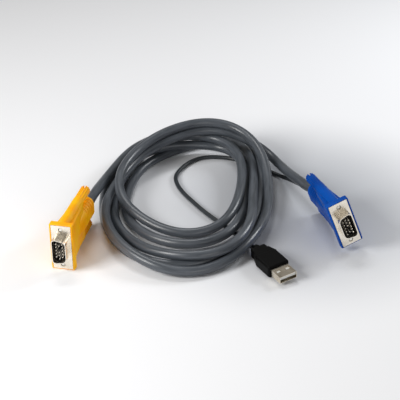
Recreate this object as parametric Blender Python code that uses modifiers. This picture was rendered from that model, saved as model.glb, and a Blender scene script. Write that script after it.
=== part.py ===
import math

import bmesh
import bpy
from mathutils import Matrix, Vector

MM = 0.001

# Gaps between neighbouring pieces
SEAT_GAP = 0.3 * MM
PLATE_GAP = 0.2 * MM
PIN_GAP = 0.1 * MM
STRIP_GAP = 0.05 * MM

# Whole layout moved so that the plugs are centred over the origin
LAYOUT_SHIFT = Vector((-5.09 * MM, 60.89 * MM, 0.0))

# Plug places: centre of the front face, turn about Z, nose lift, roll
YELLOW_PLACE = ((-85.7 * MM, -84.9 * MM, 16.15 * MM), -12.7, 0.0, 0.0)
BLUE_PLACE = ((91.0 * MM, -67.4 * MM, 20.73 * MM), 15.0, 6.4, -20.0)
USB_PLACE = ((53.3 * MM, -103.2 * MM, 4.46 * MM), 28.7, 0.0, -4.3)

# Flange plate and its two screw holes
PLATE_LENGTH = 30.81 * MM
PLATE_WIDTH = 12.55 * MM
PLATE_FRONT = 0.1 * MM
PLATE_THICKNESS = 0.9 * MM
SCREW_MARGIN = 2.91 * MM
SCREW_SPACING = PLATE_LENGTH - 2 * SCREW_MARGIN

# Moulded hood of the fifteen-way plugs, built out from the flange
FACE_LENGTH = PLATE_LENGTH + 1.49 * MM
FACE_WIDTH = PLATE_WIDTH + 2.55 * MM
FACE_DEPTH = 4.8 * MM
FACE_ROUND = 0.9 * MM
BARREL_RADIUS = (FACE_LENGTH - SCREW_SPACING) / 2 - 0.055 * MM
BODY_WIDTH = FACE_WIDTH - 2.5 * MM
BODY_BACK_WIDTH = 2 * BARREL_RADIUS - 0.2 * MM
BODY_BACK = 36.0 * MM
BODY_ROUND = 1.2 * MM

# Cable boot: an oval, taller than it is wide, with five rings
BOOT_START = 18.0 * MM
BOOT_BACK = 52.5 * MM
BOOT_STRETCH = 2.2 * MM
BOOT_ROOT_RADIUS = 4.7 * MM
BOOT_RADIUS = 5.5 * MM
BOOT_NECK_RADIUS = 4.9 * MM
BOOT_RING_START = 37.0 * MM
BOOT_RING_PITCH = 3.1 * MM
BOOT_RING_LENGTH = 2.1 * MM
BOOT_RINGS = 5

# D-shaped shells
SHELL_LENGTH = 16.9 * MM
SHELL_WIDTH = 8.36 * MM
SHELL_WALL = 0.45 * MM
SHELL_REACH = 6.0 * MM
SHELL_SLOPE = math.radians(10.0)
SHELL_CORNER = 2.4 * MM
REAR_PLATE_THICKNESS = 0.5 * MM
REAR_BOX_BACK = 7.2 * MM
INSULATOR_FRONT = -0.4 * MM
INSULATOR_BACK = 6.0 * MM
INNER_MOULD_BACK = 14.0 * MM

# Pins: three rows of five, the fourth of the middle row left out
PIN_RADIUS = 0.38 * MM
PIN_TIP = -5.2 * MM
PIN_TAIL = 6.8 * MM
PIN_PITCH = SHELL_LENGTH / 7.38
PIN_ROW_PITCH = SHELL_WIDTH / 4.22
PIN_ROWS = 3
PINS_PER_ROW = 5
MISSING_PIN = (PIN_ROWS // 2, PINS_PER_ROW - 2)

# Thumbscrews
SCREW_HOLE_RADIUS = 1.55 * MM
SCREW_RADIUS = 1.42 * MM
SCREW_NECK_RADIUS = 1.05 * MM
SCREW_TIP = 0.4 * MM
SCREW_THREAD_BACK = 9.0 * MM
SCREW_NECK_BACK = 30.0 * MM
SCREW_BACK = 43.0 * MM
COLLAR_FRONT = 16.0 * MM
COLLAR_BACK = 24.0 * MM
KNOB_BACK = 51.5 * MM
KNOB_RADIUS = 3.35 * MM
KNOB_FLUTES = 12
KNOB_FLUTE_DEPTH = 0.45 * MM
KNOB_SLOT_WIDTH = 1.2 * MM
KNOB_SLOT_DEPTH = 2.6 * MM

# USB plug
USB_WIDTH = 12.0 * MM
USB_HEIGHT = 4.5 * MM
USB_WALL = 0.3 * MM
USB_SHELL_BACK = 19.5 * MM
USB_MOULD_FRONT = 10.4 * MM
USB_MOULD_WIDTH = 15.0 * MM
USB_MOULD_HEIGHT = 8.0 * MM
USB_MOULD_BACK = 27.0 * MM
USB_MOULD_ROUND = 1.3 * MM
USB_SHOULDER_BACK = 31.5 * MM
USB_GRIP_WIDTH = 10.8 * MM
USB_GRIP_HEIGHT = 7.0 * MM
USB_GRIP_BACK = 36.0 * MM
USB_BOOT_RADIUS = 2.7 * MM
USB_BOOT_BACK = 38.5 * MM
USB_TONGUE_WIDTH = 11.0 * MM
USB_TONGUE_THICKNESS = 1.75 * MM
USB_TONGUE_FRONT = 0.4 * MM
USB_WINDOW = (2.5 * MM, 2.0 * MM)
USB_WINDOW_OFFSET = 3.25 * MM
USB_WINDOW_CENTRE = 6.1 * MM
CONTACT_WIDTH = 1.0 * MM
CONTACT_THICKNESS = 0.2 * MM
CONTACT_BACK = 9.0 * MM
CONTACTS = ((-3.5 * MM, 1.2 * MM), (-1.0 * MM, 2.2 * MM), (1.0 * MM, 2.2 * MM), (3.5 * MM, 1.2 * MM))

# Cords
CABLE_RADIUS = 3.25 * MM
THIN_RADIUS = 1.45 * MM
BLUE_CABLE_OFFSET = 1.75 * MM
BLUE_THIN_OFFSET = -3.2 * MM
CABLE_END = INNER_MOULD_BACK + 0.5 * MM

# Coil seen from above: bearing by bearing, clockwise from +X, to the outermost and innermost turns
COIL_CENTRE = Vector((-9.0 * MM, 12.0 * MM, 0.0))
COIL_INNER = (38, 38, 45, 55, 60, 56, 53, 42, 39, 39, 44, 49, 50, 56, 47, 40)
COIL_OUTER = (55, 61, 73, 90, 105, 98, 79, 62, 56, 57, 67, 80, 91, 91, 76, 61)
COIL_TOP = (13, 12, 12, 12, 12, 12, 14, 15, 15, 15, 17, 18, 18, 18, 16, 14)
COIL_AROUND = 64
COIL_SECTION = 16
COIL_EDGE = 3.0 * MM
COIL_SQUARENESS = 0.5

# Uncoiled route points, outside the plugs
YELLOW_ROUTE = ((-71.4, -21.5, 16.1), (-70.0, -14.2, 15.6))
BLUE_ROUTE = (
    (71.1, -7.2, 15.1), (68.3, 0.1, 13.9), (65.6, 8.1, 12.5), (62.8, 16.5, 11.0), (60.0, 25.8, 9.3),
    (56.9, 35.3, 7.4), (53.4, 43.3, 5.9),
)
THIN_ROUTE = (
    (73.9, -7.8, 11.2), (69.0, 5.8, 8.2), (63.2, 19.2, 4.6), (57.0, 29.2, 2.1), (50.2, 36.8, 1.55),
    (42.0, 45.3, 1.55), (33.0, 51.8, 1.55), (21.0, 58.0, 1.55), (8.0, 60.0, 1.55), (-3.0, 56.0, 1.55),
    (-12.0, 45.0, 1.55), (-17.0, 30.0, 1.55), (-13.5, 12.5, 1.55), (-3.5, -7.5, 1.55), (6.5, -24.0, 1.55),
    (17.5, -39.5, 1.55), (27.2, -54.6, 1.55), (31.2, -62.6, 2.4),
)


def start_scene():
    for item in list(bpy.data.objects):
        bpy.data.objects.remove(item, do_unlink=True)
    part = bpy.data.collections.new("kvm_cable")
    tools = bpy.data.collections.new("cutters")
    bpy.context.scene.collection.children.link(part)
    bpy.context.scene.collection.children.link(tools)
    return part, tools


PART, TOOLS = start_scene()


def plain_material(name, colour, metallic, roughness):
    material = bpy.data.materials.new(name)
    material.use_nodes = True
    shader = material.node_tree.nodes["Principled BSDF"]
    shader.inputs["Base Color"].default_value = (*colour, 1.0)
    shader.inputs["Metallic"].default_value = metallic
    shader.inputs["Roughness"].default_value = roughness
    return material


def plug_frame(place):
    centre, turn, lift, roll = place
    frame = Matrix.Translation(Vector(centre) + LAYOUT_SHIFT)
    frame = frame @ Matrix.Rotation(math.radians(turn), 4, "Z")
    frame = frame @ Matrix.Rotation(math.radians(-lift), 4, "X")
    return frame @ Matrix.Rotation(math.radians(roll), 4, "Y")


def add_object(name, data, frame, material):
    item = bpy.data.objects.new(name, data)
    item.matrix_world = frame
    if material is None:
        TOOLS.objects.link(item)
        item.hide_render = True
        item.display_type = "WIRE"
    else:
        PART.objects.link(item)
        item.data.materials.append(plain_material(name, *material))
    return item


def finish_mesh(name, bm):
    data = bpy.data.meshes.new(name)
    bm.to_mesh(data)
    bm.free()
    return data


def add_box(name, low, high, frame, material=None, round_edges=0.0):
    bm = bmesh.new()
    bmesh.ops.create_cube(bm, size=1.0)
    low = Vector(low)
    high = Vector(high)
    bmesh.ops.scale(bm, vec=high - low, verts=bm.verts)
    bmesh.ops.translate(bm, vec=(high + low) / 2, verts=bm.verts)
    item = add_object(name, finish_mesh(name, bm), frame, material)
    if round_edges > 0.0:
        rounding = item.modifiers.new("Rounded edges", "BEVEL")
        rounding.width = round_edges
        rounding.segments = 3
    return item


def add_d_prism(name, length, width, front, back, wide_side, frame, material=None):
    bm = bmesh.new()
    bmesh.ops.create_cube(bm, size=1.0)
    bmesh.ops.scale(bm, vec=(width, back - front, length), verts=bm.verts)
    bmesh.ops.translate(bm, vec=(0.0, (front + back) / 2, 0.0), verts=bm.verts)
    narrow = 1.0 - 2.0 * width * math.tan(SHELL_SLOPE) / length
    for vertex in bm.verts:
        if vertex.co.x * wide_side < 0.0:
            vertex.co.z *= narrow
    half_depth = (back - front) / 2
    corners = [edge for edge in bm.edges if abs(edge.verts[0].co.y - edge.verts[1].co.y) > half_depth]
    bmesh.ops.bevel(bm, geom=corners, offset=SHELL_CORNER, segments=5, profile=0.5, affect="EDGES")
    return add_object(name, finish_mesh(name, bm), frame, material)


def add_turned(name, profile, frame, material=None, steps=24):
    data = bpy.data.meshes.new(name)
    points = [(radius, 0.0, depth) for depth, radius in reversed(profile)]
    bm = bmesh.new()
    corners = [bm.verts.new(point) for point in points]
    for first, second in zip(corners, corners[1:]):
        bm.edges.new((first, second))
    bm.to_mesh(data)
    bm.free()
    item = add_object(name, data, frame @ Matrix.Rotation(math.radians(-90.0), 4, "X"), material)
    lathe = item.modifiers.new("Turned", "SCREW")
    lathe.axis = "Z"
    lathe.steps = steps
    lathe.render_steps = steps
    lathe.use_merge_vertices = True
    lathe.merge_threshold = 0.00001
    return item


def add_oval(name, profile, stretch, frame, steps=28):
    bm = bmesh.new()
    first_turn = math.pi / steps
    corners = [
        bm.verts.new((radius * math.cos(first_turn), depth, radius * math.sin(first_turn)))
        for depth, radius in profile]
    edges = [bm.edges.new(pair) for pair in zip(corners, corners[1:])]
    bmesh.ops.spin(
        bm, geom=corners + edges, cent=(0.0, 0.0, 0.0), axis=(0.0, 1.0, 0.0), angle=2 * math.pi, steps=steps)
    bmesh.ops.remove_doubles(bm, verts=bm.verts, dist=0.00001)
    for vertex in bm.verts:
        if abs(vertex.co.z) > 0.00001:
            vertex.co.z += math.copysign(stretch, vertex.co.z)
    bmesh.ops.recalc_face_normals(bm, faces=bm.faces)
    return add_object(name, finish_mesh(name, bm), frame, None)


def combine(item, tool, operation):
    change = item.modifiers.new(tool.name, "BOOLEAN")
    change.operation = operation
    change.solver = "EXACT"
    change.object = tool


def smooth_route(points, step):
    fine = []
    for index in range(len(points) - 1):
        before = points[max(index - 1, 0)]
        start = points[index]
        end = points[index + 1]
        after = points[min(index + 2, len(points) - 1)]
        for part in range(12):
            t = part / 12
            bend = 2 * start + (end - before) * t
            bend += (2 * before - 5 * start + 4 * end - after) * t * t
            bend += (3 * start - 3 * end + after - before) * t * t * t
            fine.append(bend / 2)
    fine.append(points[-1])
    route = [fine[0]]
    for point in fine[1:-1]:
        if (point - route[-1]).length >= step:
            route.append(point)
    if (fine[-1] - route[-1]).length < step / 2:
        route.pop()
    route.append(fine[-1])
    return route


def tube_curve(name, route, radius, resolution):
    curve = bpy.data.curves.new(name, "CURVE")
    curve.dimensions = "3D"
    curve.bevel_depth = radius
    curve.bevel_resolution = resolution
    curve.use_fill_caps = True
    spline = curve.splines.new("POLY")
    spline.points.add(len(route) - 1)
    for point, place in zip(spline.points, route):
        point.co = (*place, 1.0)
    return curve


def world_points(points):
    return [Vector(point) * MM + LAYOUT_SHIFT for point in points]


def hood(prefix, frame, material, cable_offset, thin_offset):
    block = add_box(
        prefix + "_hood", (-FACE_WIDTH / 2, 0.0, -FACE_LENGTH / 2), (FACE_WIDTH / 2, FACE_DEPTH, FACE_LENGTH / 2),
        frame, material, FACE_ROUND)
    half_spacing = SCREW_SPACING / 2
    slab = add_box(
        prefix + "_slab", (-BODY_WIDTH / 2, FACE_DEPTH / 2, -half_spacing),
        (BODY_WIDTH / 2, BODY_BACK - SEAT_GAP, half_spacing), frame, None, BODY_ROUND)
    for vertex in slab.data.vertices:
        if vertex.co.y > BODY_BACK / 2:
            vertex.co.x *= BODY_BACK_WIDTH / BODY_WIDTH
    combine(block, slab, "UNION")
    for side in (-1, 1):
        axis = frame @ Matrix.Translation((0.0, 0.0, side * half_spacing))
        barrel = add_turned(
            "%s_barrel_%d" % (prefix, side),
            ((FACE_DEPTH / 2, 0.0), (FACE_DEPTH / 2, BARREL_RADIUS), (BODY_BACK, BARREL_RADIUS), (BODY_BACK, 0.0)),
            axis)
        combine(block, barrel, "UNION")
    profile = [(BOOT_START, 0.0), (BOOT_START, BOOT_ROOT_RADIUS)]
    profile.append((BOOT_START + 0.6 * (BOOT_RING_START - BOOT_START), BOOT_RADIUS + 0.1 * MM))
    profile.append((BOOT_RING_START - MM, BOOT_RADIUS + 0.1 * MM))
    for ring in range(BOOT_RINGS):
        start = BOOT_RING_START + ring * BOOT_RING_PITCH
        profile.append((start, BOOT_NECK_RADIUS))
        profile.append((start + 0.4 * MM, BOOT_RADIUS))
        profile.append((start + BOOT_RING_LENGTH - 0.4 * MM, BOOT_RADIUS))
        profile.append((start + BOOT_RING_LENGTH, BOOT_NECK_RADIUS))
    profile.append((BOOT_BACK, BOOT_NECK_RADIUS - 0.1 * MM))
    profile.append((BOOT_BACK, 0.0))
    boot = add_oval(prefix + "_boot", profile, BOOT_STRETCH, frame)
    combine(block, boot, "UNION")

    pocket_depth = PLATE_FRONT + PLATE_THICKNESS + SEAT_GAP + REAR_PLATE_THICKNESS + SEAT_GAP
    pocket = add_box(
        prefix + "_plate_pocket",
        (-PLATE_WIDTH / 2 - PLATE_GAP, -MM, -PLATE_LENGTH / 2 - PLATE_GAP),
        (PLATE_WIDTH / 2 + PLATE_GAP, pocket_depth, PLATE_LENGTH / 2 + PLATE_GAP), frame)
    combine(block, pocket, "DIFFERENCE")
    half_width = SHELL_WIDTH / 2 + SHELL_WALL + SEAT_GAP
    half_length = SHELL_LENGTH / 2 + SHELL_WALL + SEAT_GAP
    cavity = add_box(
        prefix + "_cavity", (-half_width, 0.0, -half_length),
        (half_width, INNER_MOULD_BACK + SEAT_GAP, half_length), frame)
    combine(block, cavity, "DIFFERENCE")
    for side in (-1, 1):
        axis = frame @ Matrix.Translation((0.0, 0.0, side * half_spacing))
        wide = SCREW_RADIUS + SEAT_GAP
        narrow = SCREW_NECK_RADIUS + SEAT_GAP
        way = add_turned(
            "%s_screw_way_%d" % (prefix, side),
            ((0.0, 0.0), (0.0, wide), (COLLAR_FRONT, wide), (COLLAR_FRONT, narrow), (COLLAR_BACK, narrow),
             (COLLAR_BACK, wide), (BODY_BACK + MM, wide), (BODY_BACK + MM, 0.0)), axis)
        combine(block, way, "DIFFERENCE")
    bores = [("_cable_bore", cable_offset, CABLE_RADIUS)]
    if thin_offset is not None:
        bores.append(("_thin_bore", thin_offset, THIN_RADIUS))
    for label, offset, radius in bores:
        bore = add_turned(
            prefix + label,
            ((INNER_MOULD_BACK - MM, 0.0), (INNER_MOULD_BACK - MM, radius + SEAT_GAP),
             (BOOT_BACK + MM, radius + SEAT_GAP), (BOOT_BACK + MM, 0.0)),
            frame @ Matrix.Translation((0.0, 0.0, offset)))
        combine(block, bore, "DIFFERENCE")


def shells(prefix, frame, wide_side):
    steel = ((0.72, 0.66, 0.58), 1.0, 0.3)
    black = ((0.02, 0.02, 0.02), 0.0, 0.5)
    plate_back = PLATE_FRONT + PLATE_THICKNESS
    plate = add_box(
        prefix + "_front_shell", (-PLATE_WIDTH / 2, PLATE_FRONT, -PLATE_LENGTH / 2),
        (PLATE_WIDTH / 2, plate_back, PLATE_LENGTH / 2), frame, steel)
    outer = add_d_prism(
        prefix + "_skirt_outside", SHELL_LENGTH + 2 * SHELL_WALL, SHELL_WIDTH + 2 * SHELL_WALL, -SHELL_REACH,
        PLATE_FRONT + PLATE_THICKNESS / 2, wide_side, frame)
    inner = add_d_prism(
        prefix + "_skirt_inside", SHELL_LENGTH, SHELL_WIDTH, -SHELL_REACH - MM, REAR_BOX_BACK + MM, wide_side, frame)
    combine(plate, outer, "UNION")
    combine(plate, inner, "DIFFERENCE")

    rear_front = plate_back + SEAT_GAP
    rear_back = rear_front + REAR_PLATE_THICKNESS
    rear = add_box(
        prefix + "_rear_shell", (-PLATE_WIDTH / 2, rear_front, -PLATE_LENGTH / 2),
        (PLATE_WIDTH / 2, rear_back, PLATE_LENGTH / 2), frame, steel)
    box = add_box(
        prefix + "_rear_box",
        (-SHELL_WIDTH / 2 - SHELL_WALL, rear_front + REAR_PLATE_THICKNESS / 2, -SHELL_LENGTH / 2 - SHELL_WALL),
        (SHELL_WIDTH / 2 + SHELL_WALL, REAR_BOX_BACK, SHELL_LENGTH / 2 + SHELL_WALL), frame)
    combine(rear, box, "UNION")
    combine(rear, inner, "DIFFERENCE")
    for side in (-1, 1):
        hole = add_turned(
            "%s_plate_hole_%d" % (prefix, side),
            ((-MM, 0.0), (-MM, SCREW_HOLE_RADIUS), (rear_back + MM, SCREW_HOLE_RADIUS), (rear_back + MM, 0.0)),
            frame @ Matrix.Translation((0.0, 0.0, side * SCREW_SPACING / 2)))
        combine(plate, hole, "DIFFERENCE")
        combine(rear, hole, "DIFFERENCE")

    insulator = add_d_prism(
        prefix + "_insulator", SHELL_LENGTH - 2 * SEAT_GAP, SHELL_WIDTH - 2 * SEAT_GAP, INSULATOR_FRONT,
        INSULATOR_BACK, wide_side, frame, black)
    add_box(
        prefix + "_inner_mould",
        (-SHELL_WIDTH / 2 - SHELL_WALL, REAR_BOX_BACK + SEAT_GAP, -SHELL_LENGTH / 2 - SHELL_WALL),
        (SHELL_WIDTH / 2 + SHELL_WALL, INNER_MOULD_BACK, SHELL_LENGTH / 2 + SHELL_WALL),
        frame, ((0.6, 0.6, 0.58), 0.0, 0.6))
    return insulator


def pins(prefix, frame, wide_side, insulator):
    gold = ((0.85, 0.72, 0.45), 1.0, 0.3)
    number = 0
    for row in range(PIN_ROWS):
        for place in range(PINS_PER_ROW):
            if (row, place) == MISSING_PIN:
                continue
            number += 1
            x = wide_side * (1 - row) * PIN_ROW_PITCH
            shift = PIN_PITCH / 4 if row == 1 else -PIN_PITCH / 4
            z = wide_side * ((2 - place) * PIN_PITCH + shift)
            spot = frame @ Matrix.Translation((x, 0.0, z))
            add_turned(
                "%s_pin_%02d" % (prefix, number),
                ((PIN_TIP, 0.0), (PIN_TIP, 0.4 * PIN_RADIUS), (PIN_TIP + 0.3 * MM, PIN_RADIUS),
                 (PIN_TAIL, PIN_RADIUS), (PIN_TAIL, 0.0)), spot, gold, 12)
            hole = add_turned(
                "%s_pin_hole_%02d" % (prefix, number),
                ((INSULATOR_FRONT - MM, 0.0), (INSULATOR_FRONT - MM, PIN_RADIUS + PIN_GAP),
                 (INSULATOR_BACK + MM, PIN_RADIUS + PIN_GAP), (INSULATOR_BACK + MM, 0.0)), spot, None, 12)
            combine(insulator, hole, "DIFFERENCE")


def thumbscrew(prefix, frame, side, knob_material):
    name = "%s_%s" % (prefix, "upper" if side > 0 else "lower")
    axis = frame @ Matrix.Translation((0.0, 0.0, side * SCREW_SPACING / 2))
    add_turned(
        name + "_screw",
        ((SCREW_TIP, 0.0), (SCREW_TIP, 0.65 * SCREW_RADIUS), (SCREW_TIP + 0.5 * MM, SCREW_RADIUS),
         (SCREW_THREAD_BACK, SCREW_RADIUS), (SCREW_THREAD_BACK + 0.5 * MM, SCREW_NECK_RADIUS),
         (SCREW_NECK_BACK, SCREW_NECK_RADIUS), (SCREW_NECK_BACK + 0.5 * MM, SCREW_RADIUS),
         (SCREW_BACK, SCREW_RADIUS), (SCREW_BACK, 0.0)), axis, ((0.75, 0.74, 0.7), 1.0, 0.35))
    bm = bmesh.new()
    front = BODY_BACK + SEAT_GAP
    stand = Matrix.Translation((0.0, (front + KNOB_BACK) / 2, 0.0)) @ Matrix.Rotation(math.radians(-90.0), 4, "X")
    bmesh.ops.create_cone(
        bm, cap_ends=True, segments=4 * KNOB_FLUTES, radius1=KNOB_RADIUS, radius2=KNOB_RADIUS,
        depth=KNOB_BACK - front, matrix=stand)
    for vertex in bm.verts:
        angle = math.atan2(vertex.co.z, vertex.co.x)
        radius = KNOB_RADIUS - KNOB_FLUTE_DEPTH * (0.5 + 0.5 * math.cos(KNOB_FLUTES * angle))
        vertex.co.x = radius * math.cos(angle)
        vertex.co.z = radius * math.sin(angle)
    knob = add_object(name + "_knob", finish_mesh(name + "_knob", bm), axis, knob_material)
    seat = add_turned(
        name + "_knob_bore",
        ((front - MM, 0.0), (front - MM, SCREW_RADIUS + PIN_GAP), (SCREW_BACK + SEAT_GAP, SCREW_RADIUS + PIN_GAP),
         (SCREW_BACK + SEAT_GAP, 0.0)), axis)
    combine(knob, seat, "DIFFERENCE")
    slot = add_box(
        name + "_knob_slot", (-KNOB_SLOT_WIDTH / 2, KNOB_BACK - KNOB_SLOT_DEPTH, -2 * KNOB_RADIUS),
        (KNOB_SLOT_WIDTH / 2, KNOB_BACK + MM, 2 * KNOB_RADIUS), axis)
    combine(knob, slot, "DIFFERENCE")


def fifteen_way_plug(prefix, place, wide_side, material, cable_offset, thin_offset):
    frame = plug_frame(place)
    hood(prefix, frame, material, cable_offset, thin_offset)
    insulator = shells(prefix, frame, wide_side)
    pins(prefix, frame, wide_side, insulator)
    for side in (-1, 1):
        thumbscrew(prefix, frame, side, material)
    return frame


def usb_plug():
    frame = plug_frame(USB_PLACE)
    rubber = ((0.02, 0.02, 0.022), 0.0, 0.45)
    steel = ((0.7, 0.66, 0.6), 1.0, 0.25)
    mould = add_box(
        "usb_mould", (-USB_MOULD_WIDTH / 2, USB_MOULD_FRONT, -USB_MOULD_HEIGHT / 2),
        (USB_MOULD_WIDTH / 2, USB_MOULD_BACK, USB_MOULD_HEIGHT / 2), frame, rubber, USB_MOULD_ROUND)
    shoulder = add_box(
        "usb_shoulder", (-USB_MOULD_WIDTH / 2 + 0.1 * MM, USB_MOULD_BACK - 2 * MM, -USB_GRIP_HEIGHT / 2 - 0.1 * MM),
        (USB_MOULD_WIDTH / 2 - 0.1 * MM, USB_SHOULDER_BACK, USB_GRIP_HEIGHT / 2 + 0.1 * MM), frame)
    for vertex in shoulder.data.vertices:
        if vertex.co.y > USB_MOULD_BACK:
            vertex.co.x *= USB_GRIP_WIDTH / USB_MOULD_WIDTH
    combine(mould, shoulder, "UNION")
    grip = add_box(
        "usb_grip", (-USB_GRIP_WIDTH / 2, USB_MOULD_BACK - 3 * MM, -USB_GRIP_HEIGHT / 2),
        (USB_GRIP_WIDTH / 2, USB_GRIP_BACK, USB_GRIP_HEIGHT / 2), frame, None, USB_MOULD_ROUND)
    combine(mould, grip, "UNION")
    boot = add_turned(
        "usb_boot",
        ((USB_GRIP_BACK - 3 * MM, 0.0), (USB_GRIP_BACK - 3 * MM, USB_BOOT_RADIUS + 0.5 * MM),
         (USB_GRIP_BACK + MM, USB_BOOT_RADIUS + 0.4 * MM), (USB_BOOT_BACK, USB_BOOT_RADIUS), (USB_BOOT_BACK, 0.0)),
        frame)
    combine(mould, boot, "UNION")
    pocket = add_box(
        "usb_shell_pocket",
        (-USB_WIDTH / 2 - PLATE_GAP, USB_MOULD_FRONT - MM, -USB_HEIGHT / 2 - PLATE_GAP),
        (USB_WIDTH / 2 + PLATE_GAP, USB_SHELL_BACK + SEAT_GAP, USB_HEIGHT / 2 + PLATE_GAP), frame)
    combine(mould, pocket, "DIFFERENCE")
    bore = add_turned(
        "usb_cable_bore",
        ((USB_SHELL_BACK - MM, 0.0), (USB_SHELL_BACK - MM, THIN_RADIUS + SEAT_GAP),
         (USB_BOOT_BACK + MM, THIN_RADIUS + SEAT_GAP), (USB_BOOT_BACK + MM, 0.0)), frame)
    combine(mould, bore, "DIFFERENCE")

    shell = add_box(
        "usb_shell", (-USB_WIDTH / 2, 0.0, -USB_HEIGHT / 2), (USB_WIDTH / 2, USB_SHELL_BACK, USB_HEIGHT / 2),
        frame, steel)
    inside = add_box(
        "usb_shell_inside", (-USB_WIDTH / 2 + USB_WALL, -MM, -USB_HEIGHT / 2 + USB_WALL),
        (USB_WIDTH / 2 - USB_WALL, USB_SHELL_BACK + MM, USB_HEIGHT / 2 - USB_WALL), frame)
    combine(shell, inside, "DIFFERENCE")
    for side in (-1, 1):
        window = add_box(
            "usb_window_%d" % side,
            (side * USB_WINDOW_OFFSET - USB_WINDOW[0] / 2, USB_WINDOW_CENTRE - USB_WINDOW[1] / 2, -USB_HEIGHT),
            (side * USB_WINDOW_OFFSET + USB_WINDOW[0] / 2, USB_WINDOW_CENTRE + USB_WINDOW[1] / 2, USB_HEIGHT),
            frame)
        combine(shell, window, "DIFFERENCE")

    tongue_top = USB_HEIGHT / 2 - USB_WALL - PLATE_GAP
    tongue_bottom = tongue_top - USB_TONGUE_THICKNESS
    contact_top = tongue_bottom - STRIP_GAP
    add_box(
        "usb_tongue", (-USB_TONGUE_WIDTH / 2, USB_TONGUE_FRONT, tongue_bottom),
        (USB_TONGUE_WIDTH / 2, USB_SHELL_BACK - SEAT_GAP, tongue_top), frame, ((0.85, 0.85, 0.83), 0.0, 0.5))
    for number, (x, front) in enumerate(CONTACTS, 1):
        add_box(
            "usb_contact_%d" % number, (x - CONTACT_WIDTH / 2, front, contact_top - CONTACT_THICKNESS),
            (x + CONTACT_WIDTH / 2, CONTACT_BACK, contact_top),
            frame, ((0.85, 0.7, 0.4), 1.0, 0.3))
    return frame


def blend(table, around):
    place = around * len(table)
    index = math.floor(place)
    t = place - index
    count = len(table)
    before, start, end, after = (table[(index + step) % count] for step in (-1, 0, 1, 2))
    bend = 2 * start + (end - before) * t + (2 * before - 5 * start + 4 * end - after) * t * t
    return (bend + (3 * start - 3 * end + after - before) * t * t * t) / 2


def coil(thin_route):
    bpy.ops.mesh.primitive_torus_add(
        major_segments=COIL_AROUND, minor_segments=COIL_SECTION, major_radius=2.0, minor_radius=1.0)
    ring = bpy.context.object
    data = ring.data
    centre = COIL_CENTRE + LAYOUT_SHIFT
    for vertex in data.vertices:
        around = math.atan2(-vertex.co.y, vertex.co.x) / (2 * math.pi) % 1.0
        across = math.hypot(vertex.co.x, vertex.co.y) - 2.0
        up = vertex.co.z
        across = math.copysign(abs(across) ** COIL_SQUARENESS, across)
        up = math.copysign(abs(up) ** COIL_SQUARENESS, up)
        inner = blend(COIL_INNER, around) * MM - COIL_EDGE
        outer = blend(COIL_OUTER, around) * MM + COIL_EDGE
        top = blend(COIL_TOP, around) * MM
        radius = (inner + outer) / 2 + across * (outer - inner) / 2
        angle = -2 * math.pi * around
        vertex.co = centre + Vector((radius * math.cos(angle), radius * math.sin(angle), top * (1 + up) / 2))
    bpy.data.objects.remove(ring, do_unlink=True)
    item = add_object("coil", data, Matrix.Identity(4), ((0.1, 0.12, 0.14), 0.0, 0.5))
    curve = tube_curve("thin_groove", thin_route, THIN_RADIUS + SEAT_GAP, 2)
    wire = add_object("thin_groove_curve", curve, Matrix.Identity(4), None)
    bpy.context.view_layer.update()
    view = bpy.context.evaluated_depsgraph_get()
    groove = bpy.data.meshes.new_from_object(wire.evaluated_get(view))
    bpy.data.objects.remove(wire, do_unlink=True)
    bm = bmesh.new()
    bm.from_mesh(groove)
    bmesh.ops.remove_doubles(bm, verts=bm.verts, dist=0.000001)
    bm.to_mesh(groove)
    bm.free()
    combine(item, add_object("thin_groove", groove, Matrix.Identity(4), None), "DIFFERENCE")


def cord(name, route, radius, resolution, colour):
    curve = tube_curve(name, route, radius, resolution)
    return add_object(name, curve, Matrix.Identity(4), (colour, 0.0, 0.5))


def along(frame, offset, depths):
    return [frame @ Vector((0.0, depth, offset)) for depth in depths]


def build():
    yellow = fifteen_way_plug("yellow", YELLOW_PLACE, -1, ((0.95, 0.4, 0.01), 0.0, 0.4), 0.0, None)
    blue = fifteen_way_plug(
        "blue", BLUE_PLACE, 1, ((0.005, 0.06, 0.4), 0.0, 0.4), BLUE_CABLE_OFFSET, BLUE_THIN_OFFSET)
    usb = usb_plug()
    boot_line = [CABLE_END + share * (BOOT_BACK - CABLE_END) for share in (0.0, 0.3, 0.6, 0.8, 1.0)]
    cable_step = 2.2 * CABLE_RADIUS
    thin_step = 5 * THIN_RADIUS
    route = smooth_route(along(yellow, 0.0, boot_line) + world_points(YELLOW_ROUTE), cable_step)
    cord("yellow_lead", route, CABLE_RADIUS, 3, (0.08, 0.09, 0.11))
    route = smooth_route(along(blue, BLUE_CABLE_OFFSET, boot_line) + world_points(BLUE_ROUTE), cable_step)
    cord("blue_lead", route, CABLE_RADIUS, 3, (0.08, 0.09, 0.11))
    usb_end = USB_SHELL_BACK + SEAT_GAP
    usb_line = [USB_BOOT_BACK + share * (usb_end - USB_BOOT_BACK) for share in (0.0, 0.35, 0.7, 1.0)]
    thin_points = along(blue, BLUE_THIN_OFFSET, boot_line) + world_points(THIN_ROUTE)
    route = smooth_route(thin_points + along(usb, 0.0, usb_line), thin_step)
    cord("usb_lead", route, THIN_RADIUS, 2, (0.05, 0.055, 0.06))
    coil(route)


build()
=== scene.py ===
import math

import bpy
import numpy as np
from mathutils import Matrix, Vector


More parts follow.
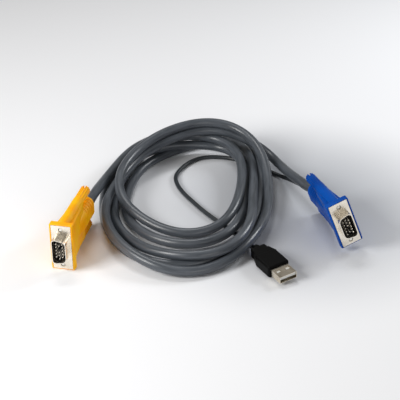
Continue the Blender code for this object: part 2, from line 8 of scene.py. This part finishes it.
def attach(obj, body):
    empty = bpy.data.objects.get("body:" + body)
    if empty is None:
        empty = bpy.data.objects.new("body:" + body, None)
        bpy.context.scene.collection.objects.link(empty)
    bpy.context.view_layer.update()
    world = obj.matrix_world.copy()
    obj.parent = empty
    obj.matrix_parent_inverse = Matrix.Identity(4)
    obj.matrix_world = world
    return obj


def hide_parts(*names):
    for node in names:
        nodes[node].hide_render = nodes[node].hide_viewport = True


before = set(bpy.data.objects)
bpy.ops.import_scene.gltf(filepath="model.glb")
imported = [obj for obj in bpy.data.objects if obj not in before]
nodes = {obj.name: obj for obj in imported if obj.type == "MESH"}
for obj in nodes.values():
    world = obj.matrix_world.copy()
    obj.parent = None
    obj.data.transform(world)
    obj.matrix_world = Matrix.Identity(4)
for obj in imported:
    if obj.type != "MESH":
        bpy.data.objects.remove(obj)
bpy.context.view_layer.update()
mm = 0.001

bpy.context.scene.view_settings.view_transform = "Standard"
print("frame loaded:", len(nodes), "nodes")


class Wire:  # a socket that can stand in a sum
    def __init__(self, paint, socket):
        self.paint = paint
        self.socket = socket

    def maths(self, operation, *values):
        return self.paint.add("ShaderNodeMath", {"operation": operation}, dict(enumerate(values)))

    def __add__(self, other):
        return self.maths("ADD", self, other)

    def __radd__(self, other):
        return self.maths("ADD", other, self)

    def __sub__(self, other):
        return self.maths("SUBTRACT", self, other)

    def __rsub__(self, other):
        return self.maths("SUBTRACT", other, self)

    def __mul__(self, other):
        return self.maths("MULTIPLY", self, other)

    def __rmul__(self, other):
        return self.maths("MULTIPLY", other, self)

    def __pow__(self, other):
        return self.maths("POWER", self, other)

    def ramp(self, low, high):  # 0 below low, 1 above high, smooth between
        return self.paint.add(
            "ShaderNodeMapRange", {"interpolation_type": "SMOOTHSTEP"},
            {"Value": self, "From Min": low, "From Max": high})


class Paint:  # one material built node by node
    def __init__(self, name):
        self.material = bpy.data.materials.new(name)
        self.material.use_nodes = True
        self.tree = self.material.node_tree
        self.shader = self.tree.nodes["Principled BSDF"]

    def add(self, kind, settings, sockets, output=0):
        made = self.tree.nodes.new(kind)
        for name, value in settings.items():
            setattr(made, name, value)
        for name, value in sockets.items():
            self.feed(made.inputs[name], value)
        return Wire(self, made.outputs[output])

    def feed(self, socket, value):
        if isinstance(value, Wire):
            self.tree.links.new(value.socket, socket)
        elif hasattr(value, "__len__") and len(value) == 3 and socket.type == "RGBA":
            socket.default_value = (*value, 1.0)
        else:
            socket.default_value = value

    def place(self, kind="Object"):  # Object or UV coordinates
        return self.add("ShaderNodeTexCoord", {}, {}, kind)

    def stretch(self, vector, scale):
        return self.add("ShaderNodeMapping", {}, {"Vector": vector, "Scale": scale})

    def noise(self, vector, scale, detail=3.0, roughness=0.5):
        return self.add(
            "ShaderNodeTexNoise", {},
            {"Vector": vector, "Scale": scale, "Detail": detail, "Roughness": roughness})

    def mix(self, share, first, second):
        return self.add(
            "ShaderNodeMix", {"data_type": "RGBA"}, {0: share, 6: first, 7: second}, 2)

    def split(self, vector, axis):
        return self.add("ShaderNodeSeparateXYZ", {}, {"Vector": vector}, axis)

    def bump(self, height, strength, distance):
        return self.add(
            "ShaderNodeBump", {}, {"Height": height, "Strength": strength, "Distance": distance})

    def finish(self, **values):  # baseColor="..." becomes the socket Base Color
        for name, value in values.items():
            label = "".join(" " + letter if letter.isupper() else letter for letter in name).title()
            self.feed(self.shader.inputs[label], value)
        return self.material


def srgb(red, green, blue):  # 0 to 255 as seen on a screen, to the shader's linear values
    out = []
    for value in (red, green, blue):
        part = value / 255
        out.append(part / 12.92 if part <= 0.04045 else ((part + 0.055) / 1.055) ** 2.4)
    return tuple(out)


layoutShift = (-5.09, 60.89)  # mm, from the sheet the routes were drawn on to the object's own frame

cameraSetup = {
    "target": (layoutShift[0] * mm, layoutShift[1] * mm, 0.0),  # the table point in the middle of the picture
    "distance": 0.8,
    "elevation": 30.04,
    "roll": -0.61,
    "lens": 104.67,
}


def placeCamera(setup):
    data = bpy.data.cameras.new("camera")
    data.lens = setup["lens"]
    data.sensor_width = 36.0
    camera = bpy.data.objects.new("camera", data)
    bpy.context.scene.collection.objects.link(camera)
    rise = math.radians(setup["elevation"])
    back = Vector((0.0, -math.cos(rise), math.sin(rise)))
    look = (-back).to_track_quat("-Z", "Y").to_matrix().to_4x4()
    spin = Matrix.Rotation(math.radians(setup["roll"]), 4, "Z")
    camera.matrix_world = Matrix.Translation(Vector(setup["target"]) + back * setup["distance"]) @ look @ spin
    bpy.context.scene.camera = camera


placeCamera(cameraSetup)
print("camera placed")


# all route points are in mm on the layout sheet
mainCable = {
    "radius": 3.25 * mm,
    "length": 2.31,
    "sides": 20,
    "pointGap": 5.0 * mm,  # while the turns are settled
    "fineGap": 2.5 * mm,
    "stiffness": 3.0,
    "settleRounds": 30,
    "nextPoints": 8,  # points this near along the cable don't push each other
    "heldAtStart": 4,  # points held in place at the yellow end
    "heldAtEnd": 5,
    "touching": 2.03,  # turns nearer than this many radii are pushed apart
    "pushShare": 1.6,
    "evenShare": 0.15,
    "gapToLead": 0.15 * mm,
    "ovalCentre": (-9.0, 8.0),
    "ovalHalf": (50.0, 90.0),
    "firstBearing": 180.0,  # clockwise from +X
    "bearingStep": 20.0,
    "yellowEnd": [
        (-76.14, -42.46, 16.15), (-75.15, -38.07, 16.15), (-74.16, -33.68, 16.15), (-72.2, -24.9, 16.1),
        (-70.9, -15.5, 15.2)],
    "blueEnd": [
        (50.3, 51.5, 4.3), (54.1, 43.4, 5.8), (57.1, 35.3, 7.5), (60.0, 25.8, 9.3), (62.8, 16.5, 11.0),
        (65.6, 8.1, 12.5), (68.3, 0.1, 13.9), (71.1, -7.2, 15.1), (73.9, -12.5, 15.95),
        (76.87, -16.98, 16.51), (78.03, -21.3, 17.01), (79.19, -25.62, 17.52)],
    # each turn: how far out in percent of the oval, and how high in mm, every 20 degrees
    "turns": [
        [(114, 11), (99, 11), (92, 10), (93, 7), (99, 4.5), (106, 3.5), (115, 3.25), (118, 4), (113, 6),
         (103, 3.5), (100, 4), (103, 6.5), (105, 6), (104, 3.5), (106, 3.25), (111, 3.25), (116, 3.25),
         (116, 3.5)],
        [(112, 3.5), (104, 3.5), (82, 6.5), (68, 9), (63, 9), (67, 7.5), (78, 6), (87, 6), (86, 4.5),
         (80, 3.5), (80, 4), (86, 6), (86, 6), (81, 4.5), (78, 3.5), (80, 3.5), (85, 3.25), (87, 3.25)],
        [(80, 3.5), (76, 3.25), (72, 3.25), (68, 3.25), (69, 3.25), (78, 3.5), (97, 3.5), (107, 4.5),
         (99, 6), (92, 7.5), (94, 10), (106, 13), (111, 11), (106, 10), (102, 8.5), (101, 6), (103, 4),
         (104, 3.25)],
        [(96, 3.5), (86, 6.5), (74, 12), (66, 15), (65, 15), (69, 14), (78, 12.5), (84, 12), (81, 11),
         (75, 9.5), (73, 9), (73, 7), (70, 5), (65, 4), (64, 3.5), (66, 4.5), (75, 7), (90, 11)],
        [(91, 16.5), (79, 19), (67, 22.5), (61, 24), (60, 25), (66, 25.5), (78, 25), (96, 22.5),
         (111, 15.5), (112, 7.5), (113, 6), (114, 7), (114, 5.5), (114, 3.5), (115, 4.5), (117, 7.5),
         (120, 9.5), (115, 10)],
        [(95, 10), (80, 12.5), (67, 16), (59, 18), (59, 19), (65, 19.5), (78, 19), (98, 15.5)],
    ],
}

thinLead = {
    "radius": 1.45 * mm,
    "length": 0.281,
    "sides": 14,
    "fineGap": 1.6 * mm,
    "route": [  # from the blue boot to the USB plug
        (80.96, -25.68, 12.89), (79.8, -21.37, 12.39), (78.64, -17.05, 11.89), (73.9, -7.8, 11.2),
        (69.0, 5.8, 8.2), (63.2, 19.2, 4.6), (57.0, 29.2, 2.1), (50.2, 36.8, 1.55), (42.0, 45.3, 1.55),
        (33.0, 51.8, 1.55), (21.0, 58.0, 1.55), (8.0, 60.0, 1.55), (-3.0, 56.0, 1.55), (-12.0, 45.0, 1.55),
        (-17.0, 30.0, 1.55), (-13.5, 12.5, 1.55), (-3.5, -7.5, 1.55), (6.5, -24.0, 1.55), (17.5, -39.5, 1.55),
        (27.2, -54.6, 1.55), (31.2, -62.6, 2.4), (34.81, -69.43, 4.46), (36.01, -71.62, 4.46),
        (37.45, -74.25, 4.46)],
}

usbNeck = {
    "radius": 3.5 * mm,
    "row": [(31.2, -76.9, 4.46), (34.2, -75.3, 4.46), (37.2, -73.6, 4.46), (40.2, -72.0, 4.46)],
}


def smoothLine(points, steps=10):
    fine = []
    for index in range(len(points) - 1):
        before = points[max(index - 1, 0)]
        start, end = points[index], points[index + 1]
        after = points[min(index + 2, len(points) - 1)]
        for part in range(steps):
            t = part / steps
            fine.append(0.5 * (
                2 * start + (end - before) * t + (2 * before - 5 * start + 4 * end - after) * t ** 2
                + (3 * start - 3 * end + after - before) * t ** 3))
    fine.append(points[-1])
    return np.array(fine)


def evenPoints(line, gap):
    run = np.concatenate([[0.0], np.cumsum(np.linalg.norm(np.diff(line, axis=0), axis=1))])
    marks = np.linspace(0.0, run[-1], int(round(run[-1] / gap)) + 1)
    return np.stack([np.interp(marks, run, line[:, axis]) for axis in range(3)], axis=1)


def lineLength(line):
    return float(np.linalg.norm(np.diff(line, axis=0), axis=1).sum())


def fromSheet(points):
    return (np.array(points) + (*layoutShift, 0.0)) * mm


def cableStations(cable):
    points = list(cable["yellowEnd"])
    bearing = cable["firstBearing"]
    for turn in cable["turns"]:
        for share, height in turn:
            angle = -math.radians(bearing)
            points.append((
                cable["ovalCentre"][0] + share / 100 * cable["ovalHalf"][0] * math.cos(angle),
                cable["ovalCentre"][1] + share / 100 * cable["ovalHalf"][1] * math.sin(angle), height))
            bearing += cable["bearingStep"]
    return fromSheet(points + cable["blueEnd"])


def spreadPush(push):  # a push at one spot also moves the cable for some way on both sides
    padded = np.pad(push, ((3, 3), (0, 0)), mode="edge")
    return sum(part / 16 * padded[step:step + len(push)] for step, part in enumerate((1, 2, 3, 4, 3, 2, 1)))


def pushOff(line, others, reach, mask):  # how far each point must move to clear what it touches
    gap = line[:, None] - others[None]
    distance = np.sqrt((gap ** 2).sum(-1)) + 1e-9
    weight = np.where((distance < reach) & mask, (reach - distance) / distance, 0.0)
    push = (weight[..., None] * gap).sum(1)
    size = np.linalg.norm(push, axis=1) + 1e-9
    deepest = (weight * distance).max(1)
    return push / size[:, None] * np.minimum(deepest, size)[:, None]


def settleTurns(line, cable, obstacles):
    # turns that touch are pushed a diameter apart, a stiff cable evens out its bends, the table holds it up
    count = len(line)
    order = np.arange(count)
    apart = np.abs(order[:, None] - order[None]) > cable["nextPoints"]
    free = np.ones((count, 1), bool)
    free[:cable["heldAtStart"]] = free[-cable["heldAtEnd"]:] = False
    bend = np.zeros((count - 2, count))
    for row in range(count - 2):
        bend[row, row:row + 3] = (1.0, -2.0, 1.0)
    even = np.linalg.inv(np.eye(count) + cable["stiffness"] * bend.T @ bend)
    for _ in range(cable["settleRounds"]):
        push = 0.5 * pushOff(line, line, cable["touching"] * cable["radius"], apart)
        for points, radius in obstacles:
            push += pushOff(line, points, cable["radius"] + radius, True)
        line = line + free * cable["pushShare"] * spreadPush(push)
        line = line + free * cable["evenShare"] * (even @ line - line)
        line[:, 2] = np.where(free[:, 0], np.maximum(line[:, 2], cable["radius"]), line[:, 2])
    return line


def makeCord(name, line, radius, sides):
    curve = bpy.data.curves.new(name, "CURVE")
    curve.dimensions = "3D"
    curve.bevel_depth = radius
    curve.bevel_resolution = sides // 2 - 2
    curve.use_fill_caps = True
    spline = curve.splines.new("POLY")
    spline.points.add(len(line) - 1)
    for point, place in zip(spline.points, line):
        point.co = (*place, 1.0)
    cord = bpy.data.objects.new(name, curve)
    bpy.context.scene.collection.objects.link(cord)
    bpy.ops.object.select_all(action="DESELECT")
    bpy.context.view_layer.objects.active = cord
    cord.select_set(True)
    bpy.ops.object.convert(target="MESH")
    bpy.ops.object.shade_smooth()
    cord.select_set(False)
    return cord


thinLine = evenPoints(smoothLine(fromSheet(thinLead["route"])), thinLead["fineGap"])
cableLine = evenPoints(smoothLine(cableStations(mainCable)), mainCable["pointGap"])
cableLine = settleTurns(
    cableLine, mainCable,
    [(thinLine, thinLead["radius"] + mainCable["gapToLead"]), (fromSheet(usbNeck["row"]), usbNeck["radius"])])
cableLine = evenPoints(smoothLine(cableLine, 4), mainCable["fineGap"])
cable = makeCord("main_cable", cableLine, mainCable["radius"], mainCable["sides"])
lead = makeCord("thin_lead", thinLine, thinLead["radius"], thinLead["sides"])
print("cable %.3f m, thin lead %.3f m" % (lineLength(cableLine), lineLength(thinLine)))

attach(cable, "cable")
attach(lead, "cable")
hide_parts("coil", "yellow_lead", "blue_lead")
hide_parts("usb_lead")


def jacket(name, dark, light, length, radius, rough):
    paint = Paint(name)
    around = paint.place("UV")
    grain = paint.noise(paint.stretch(around, (length / radius / 40, 1.5, 1.0)), 6.0, 4.0, 0.6)
    speck = paint.noise(paint.place(), 900.0, 2.0)
    wave = paint.noise(paint.stretch(around, (length / radius / 12, 2.0, 1.0)), 1.5, 1.0)
    return paint.finish(
        baseColor=paint.mix(grain.ramp(0.3, 0.7), dark, light),
        roughness=rough + 0.14 * (speck - 0.5) + 0.08 * (grain - 0.5),
        normal=paint.bump(wave * 0.7 + speck * 0.3, 0.25, 0.15 * mm))


def moulding(name, dark, light, rough, gloss=0.3):
    paint = Paint(name)
    where = paint.place()
    cloud = paint.noise(where, 60.0, 3.0)
    spark = paint.noise(where, 2600.0, 2.0)
    paint.shader.inputs["Specular IOR Level"].default_value = gloss
    return paint.finish(
        baseColor=paint.mix(cloud.ramp(0.35, 0.65), dark, light),
        roughness=rough + 0.1 * (cloud - 0.5) + 0.12 * (spark - 0.5),
        normal=paint.bump(spark, 0.12, 0.05 * mm))


def metal(name, dark, light, rough, metallic=1.0):
    paint = Paint(name)
    where = paint.place()
    cloud = paint.noise(where, 120.0, 3.0)
    brushed = paint.noise(paint.stretch(where, (1.0, 1.0, 0.06)), 400.0, 3.0)
    return paint.finish(
        baseColor=paint.mix(cloud.ramp(0.3, 0.7), dark, light),
        metallic=metallic,
        roughness=rough + 0.12 * (brushed - 0.5) + 0.1 * (cloud - 0.5),
        normal=paint.bump(brushed, 0.04, 0.02 * mm))


finishes = {
    "jacket": jacket(
        "cable jacket", srgb(62, 67, 73), srgb(86, 91, 98), mainCable["length"], mainCable["radius"], 0.33),
    "thin": jacket(
        "thin jacket", srgb(30, 34, 38), srgb(44, 49, 54), thinLead["length"], thinLead["radius"], 0.42),
    "yellow": moulding("yellow moulding", srgb(255, 168, 0), srgb(255, 190, 0), 0.44, 0.2),
    "blue": moulding("blue moulding", srgb(0, 64, 150), srgb(0, 78, 172), 0.44, 0.12),
    "black": moulding("black moulding", srgb(3, 3, 3), srgb(7, 7, 7), 0.48, 0.08),
    "insulator": moulding("black insulator", srgb(8, 8, 9), srgb(14, 14, 15), 0.5, 0.15),
    "white": moulding("white tongue", srgb(200, 200, 196), srgb(222, 222, 218), 0.5),
    "plate": metal("nickel plate", srgb(232, 224, 210), srgb(250, 243, 230), 0.26),
    "usbSteel": metal("usb shell steel", srgb(214, 204, 186), srgb(240, 231, 214), 0.22),
    "screw": metal("screw steel", srgb(222, 220, 214), srgb(244, 242, 236), 0.34, 0.5),
    # pins and contacts: near-white, part-diffuse colour, partly the plating's own colour and partly painted
    # glint, so the pin tips show as bright dots
    "pin": metal("pin plate with painted glint", srgb(240, 234, 220), srgb(254, 250, 242), 0.3, 0.75),
}

nodeFinish = [  # the first part of a name that fits decides
    ("coil", "jacket"), ("usb_lead", "thin"), ("_lead", "jacket"), ("_pin_", "pin"), ("usb_contact", "pin"),
    ("_screw", "screw"), ("front_shell", "plate"), ("rear_shell", "plate"), ("insulator", "insulator"),
    ("inner_mould", "white"), ("usb_shell", "usbSteel"), ("usb_mould", "black"), ("usb_tongue", "white"),
    ("yellow_", "yellow"), ("blue_", "blue"),
]


def dressNodes():
    for name, item in nodes.items():
        finish = next(finish for part, finish in nodeFinish if part in name)
        for slot in item.material_slots:
            slot.material = finishes[finish]


dressNodes()
cable.data.materials.append(finishes["jacket"])
lead.data.materials.append(finishes["thin"])
print("finishes on", len(nodes), "nodes")


studio = {
    "tableHalf": 1.6,
    # painted shade: a grey patch on the table around and right of the coil stands in for the shade the coil
    # and plugs cast there; white beyond it
    "paintedShadeGrey": srgb(184, 187, 193),
    "tableWhite": srgb(246, 247, 250),
    "paintedShadeCentre": (0.055, 0.055),
    "paintedShadeFrom": 0.03,  # metres from the centre of the painted shade patch
    "paintedShadeTo": 0.15,
    "tableRough": 0.6,
    "aim": (0.0, 0.05, 0.0),
    "worldStrength": 0.2,
    "worldColour": (1.0, 0.96, 0.9),
    "lamps": [
        # name, place, width, height, watts, colour
        ("left window", (-0.52, -0.26, 0.38), 0.26, 0.26, 3.7, (1.0, 0.99, 0.97)),
        ("right window", (0.52, 0.36, 0.36), 0.20, 0.20, 2.0, (0.95, 0.975, 1.0)),
        ("high strip", (-0.15, 0.36, 0.72), 0.34, 0.14, 1.5, (1.0, 1.0, 1.0)),
        ("front fill", (0.30, -0.75, 0.30), 0.45, 0.30, 1.3, (1.0, 1.0, 1.0)),
    ],
}


def layTable(setup):
    bpy.ops.object.select_all(action="DESELECT")
    bpy.ops.mesh.primitive_plane_add(size=2 * setup["tableHalf"], location=(0.0, 0.0, 0.0))
    table = bpy.context.object
    table.name = "table"
    paint = Paint("table")
    where = paint.place()
    side = paint.split(where, 0) - setup["paintedShadeCentre"][0]
    depth = paint.split(where, 1) - setup["paintedShadeCentre"][1]
    away = (side * side + depth * depth) ** 0.5
    # table colour runs from the painted shade grey at the patch centre to plain white further out
    paint.finish(
        baseColor=paint.mix(
            away.ramp(setup["paintedShadeFrom"], setup["paintedShadeTo"]), setup["paintedShadeGrey"], setup["tableWhite"]),
        roughness=setup["tableRough"])
    table.data.materials.append(paint.material)
    table.select_set(False)


def hangLamps(setup):
    world = bpy.data.worlds.new("studio")
    bpy.context.scene.world = world
    world.use_nodes = True
    back = world.node_tree.nodes["Background"]
    back.inputs["Color"].default_value = (*setup["worldColour"], 1.0)
    back.inputs["Strength"].default_value = setup["worldStrength"]
    for name, place, width, height, watts, colour in setup["lamps"]:
        data = bpy.data.lights.new(name, "AREA")
        data.shape = "RECTANGLE"
        data.size = width
        data.size_y = height
        data.energy = watts
        data.color = colour
        lamp = bpy.data.objects.new(name, data)
        lamp.location = place
        toAim = Vector(setup["aim"]) - Vector(place)
        lamp.rotation_euler = toAim.to_track_quat("-Z", "Y").to_euler()
        bpy.context.scene.collection.objects.link(lamp)


layTable(studio)
hangLamps(studio)
print("table and lamps set")
